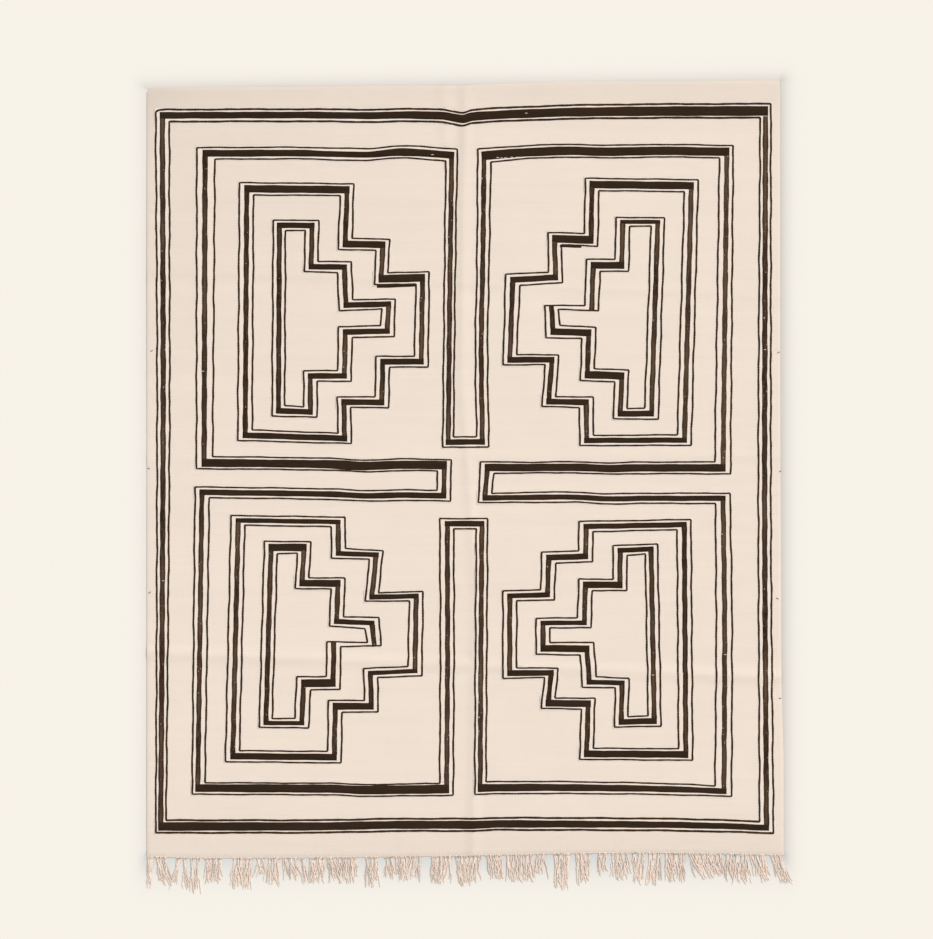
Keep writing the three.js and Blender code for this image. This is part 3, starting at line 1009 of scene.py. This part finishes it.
# The pale flecks in the bands
# Where a ground weft rides over the dark wool for one or two warps, it shows as a pale fleck,
# with both its ends in the cloth.
flecks = {
    "across": [1196, 176, 947, 948, 947, 1106, 1118, 1131, 1150, 1169, 900, 1949, 51, 1824, 1695, 1812],
    "along": [2348, 1534, 1958, 1932, 1890, 2208, 2207, 2207, 2209, 2209, 2217, 1602, 873, 640, 1880, 1020],
    "length": [9, 9, 12, 8, 8, 8, 7, 10, 8, 12, 9, 8, 7, 9, 7, 8],
}
pale_yarn, tree, shader = add_wool("pale fleck yarn", 0.2, 3.0, 3.0)
shader.inputs["Base Color"].default_value = (0.80, 0.70, 0.60, 1)
stitches = []
for x, y, length in zip(*flecks.values()):
    stitches.append((short_yarn(x, y, length, slant=0, height=3.3, drop=0.7, count=6), {}))
add_skins("pale_flecks", stitches, pale_yarn)

# The floor, the light and the camera
# A plain pale floor with a soft painted shade close round the rug, under an even sky with one large soft
# lamp high beyond the plain end's right corner. The camera looks straight down with a long lens.
floor_material = bpy.data.materials.new("pale floor")
floor_material.use_nodes = True
tree = floor_material.node_tree
shader = tree.nodes["Principled BSDF"]
shader.inputs["Roughness"].default_value = 0.9
shader.inputs["Specular IOR Level"].default_value = 0.0
parts = add_node(tree, "SeparateXYZ", {0: add_node(tree, "TexCoord").outputs["Object"]}).outputs


def beyond(place, edge, direction):
    """How far a place on the floor lies past one edge of the cloth, in metres."""
    past = maths(tree, "MULTIPLY", maths(tree, "SUBTRACT", place, edge), direction)
    return maths(tree, "MAXIMUM", past, 0.0)


# The right side and the plain end slant a little, and the painted shade reaches further under the fringe.
# depths say how much darker the painted shade makes the floor right beside each side of the rug.
right_slant = 0.0041
plain_end_slant = -0.012
plain_end_middle = 2434
fringe_scale = 0.42
shade_reach = 28
shade_falloff = 1.5
least_distance = 0.5
slanted_x = maths(tree, "MULTIPLY_ADD", parts["Y"], right_slant, parts["X"])
slanted_y = maths(tree, "MULTIPLY_ADD", parts["X"], plain_end_slant, parts["Y"])
under_fringe = maths(tree, "MULTIPLY", beyond(parts["Y"], cloth_low[1] + 20 * MM, -1), fringe_scale)
distances = {
    "right": beyond(slanted_x, cloth_high[0] - 10 * MM, 1),
    "left": beyond(parts["X"], cloth_low[0], -1),
    "plain end": beyond(slanted_y, cloth_low[1] + plain_end_middle * MM, 1),
    "fringed end": under_fringe,
}
depths = {"right": 0.29, "left": 0.1, "plain end": 0.21, "fringed end": 0.22}
squared = 0.0
for distance in distances.values():
    squared = maths(tree, "MULTIPLY_ADD", distance, distance, squared)
away = maths(tree, "MAXIMUM", maths(tree, "SQRT", squared), least_distance * MM)
depth = 0.0
for side, distance in distances.items():
    depth = maths(tree, "MULTIPLY_ADD", maths(tree, "DIVIDE", distance, away), depths[side], depth)
fade = maths(tree, "POWER", maths(tree, "DIVIDE", away, shade_reach * MM), shade_falloff)
fade = maths(tree, "EXPONENT", maths(tree, "MULTIPLY", fade, -1.0))
# Painted shade: the floor is darkened where the shade fades in, and tinted grey-blue under the fringe
light_share = maths(tree, "SUBTRACT", 1.0, maths(tree, "MULTIPLY", fade, depth))
fringe_shade_tint_share = maths(tree, "MULTIPLY", fade, maths(tree, "DIVIDE", under_fringe, away))
floor_with_shade_tint = between_colours(tree, fade, (0.871, 0.83, 0.755), (0.871, 0.825, 0.765))
base = add_node(tree, "Mix", {"Factor": fringe_shade_tint_share, "A": floor_with_shade_tint, "B": (0.79, 0.815, 0.80, 1)},
                data_type="RGBA").outputs["Result"]
paint(tree, shader, base, light_share)

floor_half = 20
floor_height = -0.4 * MM
floor_corners = [(x * floor_half, y * floor_half, floor_height)
                 for x, y in ((-1, -1), (1, -1), (1, 1), (-1, 1))]
floor_mesh = bpy.data.meshes.new("floor")
floor_mesh.from_pydata(floor_corners, [], [(0, 1, 2, 3)])
floor_mesh.materials.append(floor_material)
floor = bpy.data.objects.new("floor", floor_mesh)
bpy.context.scene.collection.objects.link(floor)

lamp_tilt = 48
lamp_turn = 135
lamp = bpy.data.lights.new("soft lamp", "SUN")
lamp.energy = 1.85
lamp.angle = math.radians(20)
lamp_object = bpy.data.objects.new("soft lamp", lamp)
lamp_object.rotation_euler = (math.radians(lamp_tilt), 0, math.radians(lamp_turn))
bpy.context.scene.collection.objects.link(lamp_object)

world = bpy.data.worlds.new("even sky")
world.use_nodes = True
sky = world.node_tree.nodes["Background"]
sky.inputs["Color"].default_value = (1.0, 1.0, 1.0, 1)
sky.inputs["Strength"].default_value = 0.68
bpy.context.scene.world = world
bpy.context.scene.view_settings.view_transform = "Standard"

# The photograph is 939 pixels high, and one of them shows 3.155 mm of the rug
photo_height = 939
pixel = 3.155 * MM
view_centre = (0.0030, 0.0434)
lens, sensor = 200, 36
camera_data = bpy.data.cameras.new("camera")
camera_data.lens = lens
camera_data.sensor_width = sensor
camera_data.clip_end = 200
camera = bpy.data.objects.new("camera", camera_data)
camera.location = (*view_centre, photo_height * pixel * lens / sensor)
bpy.context.scene.collection.objects.link(camera)
bpy.context.scene.camera = camera
